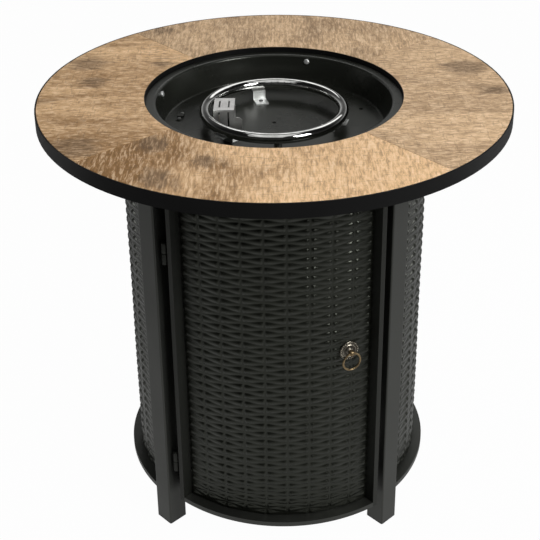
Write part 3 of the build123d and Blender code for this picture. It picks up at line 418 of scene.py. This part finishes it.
bare_metal("chrome", light=(0.62, 0.62, 0.60, 1), dark=(0.40, 0.40, 0.385, 1),
           least_rough=0.04, most_rough=0.10, streak=(60, 60, 900))
bare_metal("hood_steel", light=(0.74, 0.73, 0.71, 1), dark=(0.52, 0.51, 0.50, 1),
           least_rough=0.30, most_rough=0.46, streak=(900, 60, 900))
bare_metal("zinc_plate", light=(0.86, 0.87, 0.86, 1), dark=(0.64, 0.65, 0.63, 1),
           least_rough=0.42, most_rough=0.58, streak=(300, 300, 300))
bare_metal("dull_zinc", light=(0.17, 0.17, 0.165, 1), dark=(0.09, 0.09, 0.087, 1),
           least_rough=0.3, most_rough=0.42, streak=(300, 300, 300))
bare_metal("brass", light=(0.78, 0.55, 0.24, 1), dark=(0.58, 0.38, 0.15, 1),
           least_rough=0.22, most_rough=0.36, streak=(500, 80, 500))
print("metals:", list(finishes)[-5:])

# %% [markdown]
# ## Aged bronze
# The ring pull is dark in its hollows and rubbed bright where hands touch it. Painting that by hand would
# take a map, but Pointiness already knows where a surface stands proud, so it mixes the two tones, with a
# little stain.


# %% Bronze of the ring pull
def aged_bronze(name, bright, dark):
    """Bronze with a dark patina in hollows, rubbed bright where it stands proud."""
    material, paint, place = start_finish(name)
    proud = paint.node("NewGeometry", {}, {}, out="Pointiness").ramp(0.46, 0.56)
    stain = place.noise(420.0, detail=4.0)
    wear = (proud * 0.7 + stain * 0.45).held()
    end_finish(paint, stain, strength=0.2, distance=0.0002, sockets={
        "Base Color": wear.blend(dark, bright), "Roughness": wear.ramp(0.0, 1.0, 0.5, 0.28), "Metallic": 0.9})
    finishes[name] = material


aged_bronze("pewter_bronze", bright=(0.27, 0.245, 0.20, 1), dark=(0.035, 0.031, 0.026, 1))
aged_bronze("golden_bronze", bright=(0.33, 0.24, 0.13, 1), dark=(0.065, 0.046, 0.026, 1))
print("bronzes:", [n for n in finishes if n.endswith("bronze")])

# %% [markdown]
# ## Plastic and ceramic
# The knob, the button and the foot pads are moulded plastic with a fine spark-eroded grain. The electrode's
# insulator is glazed ceramic, cream with small specks. A plain colour would do from afar, but close up the
# grain breaks the highlights, so both get a slow change of tone and a fine bump from one function.


# %% Moulded finishes
def moulded(name, light, dark, roughness, grain_size, grain_depth):
    """Moulded plastic or glazed ceramic with fine grain and slow colour changes."""
    material, paint, place = start_finish(name)
    slow = place.noise(40.0, detail=3.0)
    grain = place.noise(grain_size, detail=2.0)
    end_finish(paint, grain, strength=0.4, distance=grain_depth, sockets={
        "Base Color": (slow.ramp(0.3, 0.7) * 0.8 + grain * 0.2).held().blend(dark, light),
        "Roughness": grain.ramp(0.3, 0.7, roughness - 0.06, roughness + 0.08)})
    finishes[name] = material


moulded("black_plastic", light=grey(0.024), dark=grey(0.014),
        roughness=0.5, grain_size=2200.0, grain_depth=0.00008)
moulded("cream_ceramic", light=(0.80, 0.76, 0.68, 1), dark=(0.66, 0.61, 0.52, 1),
        roughness=0.3, grain_size=900.0, grain_depth=0.00003)
print("finishes:", len(finishes))

# %% [markdown]
# ## Finishes for the solids
# Most solids keep their shape and only need their finish. One line for each solid would be long, so a table
# goes from each finish to the solids that take it, which also shows at a glance what is made of the same
# stuff.

# %% Dress the solids
dress = {
    "oak_front": "board_front",
    "oak_right": "board_right",
    "oak_back": "board_back",
    "oak_left": "board_left",
    "rim_black": "rim_band",
    "bowl_black": "fire_bowl lead_clip",
    "inside_and_port_shade_black": "top_plate leg_brackets base_plate tank_ring control_plate",
    "frame_black": "leg_back_right leg_back_left leg_front_left leg_front_right "
                   "side_bottom_rails side_top_rails door_bottom_rail",
    "painted_shade_door_black": "door_hinge_stile door_latch_stile door_top_rail hinge_leg_knuckles hinge_door_knuckles",
    "weave_black": "panel_left panel_right panel_back door_panel",
    "chrome": "burner_ring valve_stem thermocouple electrode_wire",
    "hood_steel": "pilot_hood",
    "zinc_plate": "board_screws bowl_bolts bowl_clips bowl_nuts burner_brackets inlet_locknut "
                  "frame_screws hinge_pins strike_plate handle_nut air_mixer valve_nut",
    "dull_zinc": "bowl_floor_screws",
    "brass": "gas_jet gas_valve gas_inlet inlet_elbow",
    "pewter_bronze": "handle_rosette",
    "golden_bronze": "handle_post handle_ring",
    "black_plastic": "control_knob igniter_body igniter_nut igniter_button foot_plugs magnet_catch",
    "cream_ceramic": "electrode_insulator",
}
for finish, names in dress.items():
    for name in names.split():
        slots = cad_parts[name].data.materials
        slots.clear()
        slots.append(finishes[finish])
print("dressed", sum(len(names.split()) for names in dress.values()), "solids")

# %% [markdown]
# ## Woven panels
# The cabinet's sheets are pressed to look like wicker: level strands that swell over every second upright
# stake and flatten between them, in staggered rows, with the stakes left as narrow grooves. A bump could
# paint that, but real forms keep the glints beside each stake right from any side. So the height of the
# weave is worked out first, for any place on the drum.

# %% The relief of the weave
stake_spacing = 0.0325
stake_half_width = 0.0025
stake_level = 0.35
strand_pitch = 0.015
strand_rise = 0.0035
strand_thin, strand_swell = 0.22, 0.14
strand_low, strand_climb, strand_taper = 0.12, 0.80, 1.6
strand_roundness = 0.8
unevenness, row_phase, stake_phase = 0.10, 12.9, 78.2


def weave_height(cell, up):
    """How far the weave stands out, where cell counts stakes round the drum and up is the height."""
    hollow = (cell - round(cell)) * stake_spacing / stake_half_width
    if abs(hollow) < 1:
        return stake_level * strand_rise * hollow ** 2
    best = 0.0
    for stake in (math.floor(cell), math.floor(cell) + 1):
        taper = 1 - abs(cell - stake)
        row = up / strand_pitch + stake % 2 / 2
        across = (row - round(row)) / (strand_thin + strand_swell * taper)
        if abs(across) < 1:
            uneven = 1 + unevenness * math.sin(round(row) * row_phase + stake * stake_phase)
            swell = strand_low + strand_climb * taper ** strand_taper
            best = max(best, swell * uneven * (1 - across * across) ** strand_roundness)
    return best * strand_rise


print("a strand stands out", round(weave_height(0.09, 0.0) * 1000, 2), "mm beside its stake")

# %% [markdown]
# ## Putting a new piece in place
# Pieces with fine forms are built again in place of the plain solid that stands for them. Changing the solid
# itself would be harder, because it comes as loose triangles. Each new piece takes a finish, rides the body
# that carries it, and hides the solid it replaces.


# %% Put a new piece in place
def finish_piece(name, form, body, nodes, finish, second_finish=None, sharp_angle=40):
    """Make an object from a bmesh, give it its finishes and let it ride a body in place of solids."""
    bmesh.ops.recalc_face_normals(form, faces=form.faces)
    data = bpy.data.meshes.new(name)
    form.to_mesh(data)
    form.free()
    for coat in (finish, second_finish):
        if coat:
            data.materials.append(finishes[coat])
    data.shade_smooth()
    data.set_sharp_from_angle(angle=math.radians(sharp_angle))
    piece = bpy.data.objects.new(name, data)
    scene.collection.objects.link(piece)
    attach(piece, body)
    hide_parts(*nodes)
    print(name, "has", len(data.polygons), "faces")


# %% [markdown]
# ## Pressing the sheets
# A factory would stamp each sheet flat and then roll it, and the same order works here. Displacing a finely
# divided drum would need far more faces, so the columns of this sheet are crowded round the stakes, where
# the form changes fast. A strip of faces is extruded to the sheet's thickness and its outer side is cut into
# rows. Each point is then laid round the drum and pushed out by the weave.

# %% Press a sheet
sheet_outside, sheet_inside = 0.230, 0.2285
sheet_border = 0.003
rows_per_strand = 16
column_shares = (-0.5, -0.32, -0.18, -0.092, -0.05, 0.0, 0.05, 0.092, 0.18, 0.32)


def woven_panel(name, node, body, first, last, shift=0.0, swing=Matrix()):
    """A pressed sheet in place of a plain curved one: first and last are its edge angles in degrees, and
    shift moves the stakes by a share of their spacing."""
    low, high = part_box(node)[0][2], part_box(node)[1][2]
    middle_angle = math.radians(first + last) / 2
    half_arc = math.radians(last - first) / 2 * sheet_outside
    stakes = math.ceil(half_arc / stake_spacing)
    columns = (2 * stakes + 1) * len(column_shares)
    rows = round((high - low) / strand_pitch * rows_per_strand)
    form = bmesh.new()
    bmesh.ops.create_grid(form, x_segments=columns, y_segments=1, size=1)
    # Until it is laid round the drum, the strip lies flat: its inner side is at z = 0 and its outer at z = 1.
    pushed = bmesh.ops.extrude_face_region(form, geom=form.faces[:])["geom"]
    bmesh.ops.translate(form, verts=[g for g in pushed if isinstance(g, bmesh.types.BMVert)], vec=(0, 0, 1))
    upright = [e for e in form.edges if e.verts[0].co.z + e.verts[1].co.z > 1.5
               and abs(e.verts[0].co.x - e.verts[1].co.x) < 1e-6]
    bmesh.ops.subdivide_edges(form, edges=upright, cuts=rows - 1, use_grid_fill=True)
    for vert in form.verts:
        cell, column = divmod(round((vert.co.x + 1) / 2 * columns), len(column_shares))
        along = (cell - stakes + column_shares[column] + shift) * stake_spacing
        along = max(-half_arc, min(half_arc, along))
        up = (low + high) / 2 + vert.co.y * (high - low) / 2
        radius = sheet_inside
        if vert.co.z > 0.5:
            inset = min(half_arc - abs(along), up - low, high - up) / sheet_border
            radius = sheet_outside + weave_height(along / stake_spacing - shift, up) * max(min(inset, 1), 0)
        angle = middle_angle + along / sheet_outside
        vert.co = swing @ Vector((radius * math.cos(angle), radius * math.sin(angle), up))
    bmesh.ops.remove_doubles(form, verts=form.verts, dist=1e-6)
    finish_piece(name, form, body, [node], "weave_black", sharp_angle=75)


print("sheets are", round((sheet_outside - sheet_inside) * 1000, 2), "mm thick")

# %% The four sheets
leg_half_width = 0.0165
hinge_stile_edge, latch_stile_edge = 0.0405, 0.0285
left_leg_angle, right_leg_angle = 225, 315
hinge_place = Vector((-0.15521, -0.188444, 0))
door_angle = math.radians(-3.5)
door_swing = (Matrix.Translation(hinge_place) @ Matrix.Rotation(door_angle, 4, "Z")
              @ Matrix.Translation(-hinge_place))


def edge_turn(offset):
    """The angle that a flat edge this far from a leg's middle takes off the sheet."""
    return math.degrees(math.asin(offset / sheet_outside))


side_turn = edge_turn(leg_half_width)
for side, leg_angle in (("right", -45), ("back", 45), ("left", 135)):
    woven_panel(f"woven_{side}", f"panel_{side}", "table", leg_angle + side_turn, leg_angle + 90 - side_turn)
woven_panel("woven_door", "door_panel", "door", left_leg_angle + edge_turn(hinge_stile_edge),
            right_leg_angle - edge_turn(latch_stile_edge), shift=0.5, swing=door_swing)

# %% [markdown]
# ## The hinges
# Each of the two hinges is a pair of barrels on one pin: the lower one is welded to the leg and the upper
# one, with a domed top, to the door. Their solids have sharp ends, which hide the joint between them. Rounded
# ends let it show as a dark line, so each barrel is a cylinder with bevelled rims, and its leaf is a bevelled
# block.

# %% Round the hinge knuckles
barrel_radius, barrel_length, barrel_gap, leaf_sheet = 0.005, 0.018, 0.0003, 0.004
rim_rounding, dome_rounding, leaf_rounding = 0.0009, 0.0025, 0.0005
hinge_levels = (0.126, 0.502)
hinge_frame = Matrix.Translation(hinge_place) @ Matrix.Rotation(math.radians(left_leg_angle), 4, "Z")


def soften(form, edges, offset, segments):
    """Round over some edges."""
    bmesh.ops.bevel(form, geom=edges, offset=offset, offset_type="OFFSET", segments=segments, profile=0.5,
                    affect="EDGES", material=-1, clamp_overlap=True)


def hinge_halves(name, node, body, up, top_rounding, leaf_middle, leaf_reach, leaf_height, swing):
    """One half of both hinges: up is 1 above the joint and -1 below. The leaf's middle is measured outwards
    from the pin, and its reach from the pin towards the door."""
    form = bmesh.new()
    for level in hinge_levels:
        half = bmesh.new()
        bmesh.ops.create_cone(half, cap_ends=True, segments=32, radius1=barrel_radius, radius2=barrel_radius,
                              depth=barrel_length)
        for end, rounding in ((-1, rim_rounding), (1, top_rounding)):
            rim = [e for e in half.edges if all(v.co.z * end > barrel_length / 2 - 1e-5 for v in e.verts)]
            soften(half, rim, rounding, segments=4)
        leaf = bmesh.ops.create_cube(half, size=1)["verts"]
        leaf_place = Matrix.Translation((leaf_middle, leaf_reach / 2, (leaf_height - barrel_length) / 2))
        stretch = Matrix.Diagonal((leaf_sheet, abs(leaf_reach), leaf_height, 1))
        bmesh.ops.transform(half, matrix=leaf_place @ stretch, verts=leaf)
        leaf_edges = list(dict.fromkeys(e for v in leaf for e in v.link_edges))
        soften(half, leaf_edges, leaf_rounding, segments=2)
        lift = up * (barrel_gap + barrel_length) / 2 + barrel_gap / 2
        half_place = swing @ hinge_frame @ Matrix.Translation((0, 0, level + lift))
        bmesh.ops.transform(half, matrix=half_place, verts=half.verts)
        made = bpy.data.meshes.new(name)
        half.to_mesh(made)
        half.free()
        form.from_mesh(made)
        bpy.data.meshes.remove(made)
    finish_piece(name, form, body, [node], "painted_shade_door_black")


hinge_halves("leg_knuckles", "hinge_leg_knuckles", "table", up=-1, top_rounding=rim_rounding,
             leaf_middle=0.0, leaf_reach=-0.007, leaf_height=barrel_length, swing=Matrix())
hinge_halves("door_knuckles", "hinge_door_knuckles", "door", up=1, top_rounding=dome_rounding,
             leaf_middle=-0.003, leaf_reach=0.009, leaf_height=0.0155, swing=door_swing)

# %% [markdown]
# ## Spinning a section
# Rings and turned parts are round, so one section describes them. A ready-made torus can't start its section
# at a chosen point, which the burner needs, so a section is spun about the Z axis. A full spin ends where it
# began: its last points are merged with the first, and its faces are turned outwards.


# %% Spin a section
def spun(form, steps):
    """Spin everything in a form once round the Z axis."""
    bmesh.ops.spin(form, geom=form.verts[:] + form.edges[:], cent=(0, 0, 0), axis=(0, 0, 1), dvec=(0, 0, 0),
                   angle=2 * math.pi, steps=steps, use_merge=True, use_duplicate=False)
    bmesh.ops.remove_doubles(form, verts=form.verts, dist=1e-7)
    bmesh.ops.recalc_face_normals(form, faces=form.faces)
    return form


def ring_form(ring_radius, tube_radius, tube_steps, ring_steps, first_point=0.0):
    """A round tube bent into a ring about Z; first_point turns the section about its own middle."""
    form = bmesh.new()
    section = bmesh.ops.create_circle(form, cap_ends=False, segments=tube_steps, radius=tube_radius)["verts"]
    upright = Matrix.Rotation(math.pi / 2, 4, "X") @ Matrix.Rotation(first_point, 4, "Z")
    bmesh.ops.transform(form, matrix=Matrix.Translation((ring_radius, 0, 0)) @ upright, verts=section)
    return spun(form, ring_steps)


burner_radius, burner_tube, burner_level = 0.105, 0.008, 0.6425
port_tilt, port_count, steps_per_port = math.radians(30), 60, 4
burner = ring_form(burner_radius, burner_tube, tube_steps=32, ring_steps=port_count * steps_per_port,
                   first_point=math.pi - port_tilt)
print("burner ring:", len(burner.faces), "faces before its ports")

# %% [markdown]
# ## The burner ring
# The burner is a polished tube bent into a ring, with a row of gas ports drilled round its inner side and one
# inlet tube that goes down through the bowl's floor. Cutting the ports with a boolean would leave ragged
# faces. But one point of the spun section runs along the row: bevelling every fourth point of that row opens
# a small diamond, bevelling its corners makes it eight-sided, and pushing it in makes the port.

# %% Open the ports and add the inlet
port_reach, port_corner, port_depth = 0.0013, 0.00054, 0.0011
inlet_place, inlet_radius, inlet_length = (0.007, -0.10477, -0.0235), 0.006, 0.040
near_row = 2e-4
row_radius = burner_radius - burner_tube * math.cos(port_tilt)
row_height = burner_tube * math.sin(port_tilt)
row = [v for v in burner.verts if abs(math.hypot(v.co.x, v.co.y) - row_radius) < near_row
       and abs(v.co.z - row_height) < near_row]
row.sort(key=lambda v: math.atan2(v.co.y, v.co.x))
opened = bmesh.ops.bevel(burner, geom=row[2::steps_per_port], offset=port_reach, offset_type="OFFSET",
                         segments=1, profile=0.5, affect="VERTICES", material=-1)
corners = list(dict.fromkeys(v for f in opened["faces"] for v in f.verts))
bmesh.ops.bevel(burner, geom=corners, offset=port_corner, offset_type="OFFSET", segments=1, profile=0.5,
                affect="VERTICES", material=-1)
ports = [f for f in burner.faces if len(f.verts) == 8]
ports = bmesh.ops.extrude_discrete_faces(burner, faces=ports)["faces"]
for port in ports:
    # Painted shade: each port's floor takes the black paint, which stands in for the dark inside of the tube.
    port.material_index = 1
    bmesh.ops.translate(burner, verts=port.verts, vec=port.normal * -port_depth)
bmesh.ops.create_cone(burner, cap_ends=True, segments=32, radius1=inlet_radius, radius2=inlet_radius,
                      depth=inlet_length, matrix=Matrix.Translation(inlet_place))
bmesh.ops.translate(burner, verts=burner.verts, vec=(0, 0, burner_level))
print("points on the port row:", len(row), "ports:", len(ports))
# The second finish is the cabinet's black paint, used in the ports as painted shade.
finish_piece("burner_tube", burner, "table", ["burner_ring"], "chrome",
             second_finish="inside_and_port_shade_black", sharp_angle=60)

# %% [markdown]
# ## The ring pull
# A beaded rosette of dark pewter bronze, a dome with an eye in the middle, and a loose golden ring. The
# rosette could be carved from a disc, but as on a lathe it is one profile and one spin, and the two dozen
# beads are small balls set round its edge. The ring is a spun circle.


# %% Turn the rosette
def turned_form(profile, steps):
    """A closed profile of radius and height pairs, spun about Z."""
    form = bmesh.new()
    points = [form.verts.new((radius, 0, height)) for radius, height in profile]
    for point, following in zip(points, points[1:] + points[:1]):
        form.edges.new((point, following))
    return spun(form, steps)


pull_angle, pull_height, rosette_seat = math.radians(-61.5), 0.356, 0.2315
bead_count, bead_radius, bead_circle, bead_level = 24, 0.00145, 0.0133, 0.0018
pull_place = (door_swing @ Matrix.Rotation(pull_angle, 4, "Z")
              @ Matrix.Translation((rosette_seat, 0, pull_height)) @ Matrix.Rotation(math.pi / 2, 4, "Y"))
rosette = turned_form([
    (0.0026, 0.0002), (0.0150, 0.0002), (0.0150, 0.0012), (0.0146, 0.0016), (0.0120, 0.0017),
    (0.0112, 0.0024), (0.0104, 0.0031), (0.0095, 0.0031), (0.0088, 0.0025), (0.0080, 0.0018),
    (0.0064, 0.0018), (0.0058, 0.0026), (0.0050, 0.0040), (0.0038, 0.0048), (0.0026, 0.0050)], steps=72)
for bead in range(bead_count):
    bead_turn = Matrix.Rotation(2 * math.pi * bead / bead_count, 4, "Z")
    bead_place = bead_turn @ Matrix.Translation((bead_circle, 0, bead_level))
    bmesh.ops.create_uvsphere(rosette, u_segments=10, v_segments=6, radius=bead_radius, matrix=bead_place)
bmesh.ops.transform(rosette, matrix=pull_place, verts=rosette.verts)
finish_piece("beaded_rosette", rosette, "door", ["handle_rosette"], "pewter_bronze")

# %% Spin the loose ring
loop_radius, loop_wire, loop_stand = 0.0137, 0.0016, 0.0096
pull_ring = ring_form(loop_radius, loop_wire, tube_steps=16, ring_steps=64)
loop_place = pull_place @ Matrix.Translation((loop_radius, 0, loop_stand))
bmesh.ops.transform(pull_ring, matrix=loop_place, verts=pull_ring.verts)
finish_piece("golden_ring", pull_ring, "pull_ring", ["handle_ring"], "golden_bronze")
print("ring pull at", [round(c, 3) for c in pull_place.translation])

# %% [markdown]
# ## The size
# A dressed table has to keep the size of its solids.
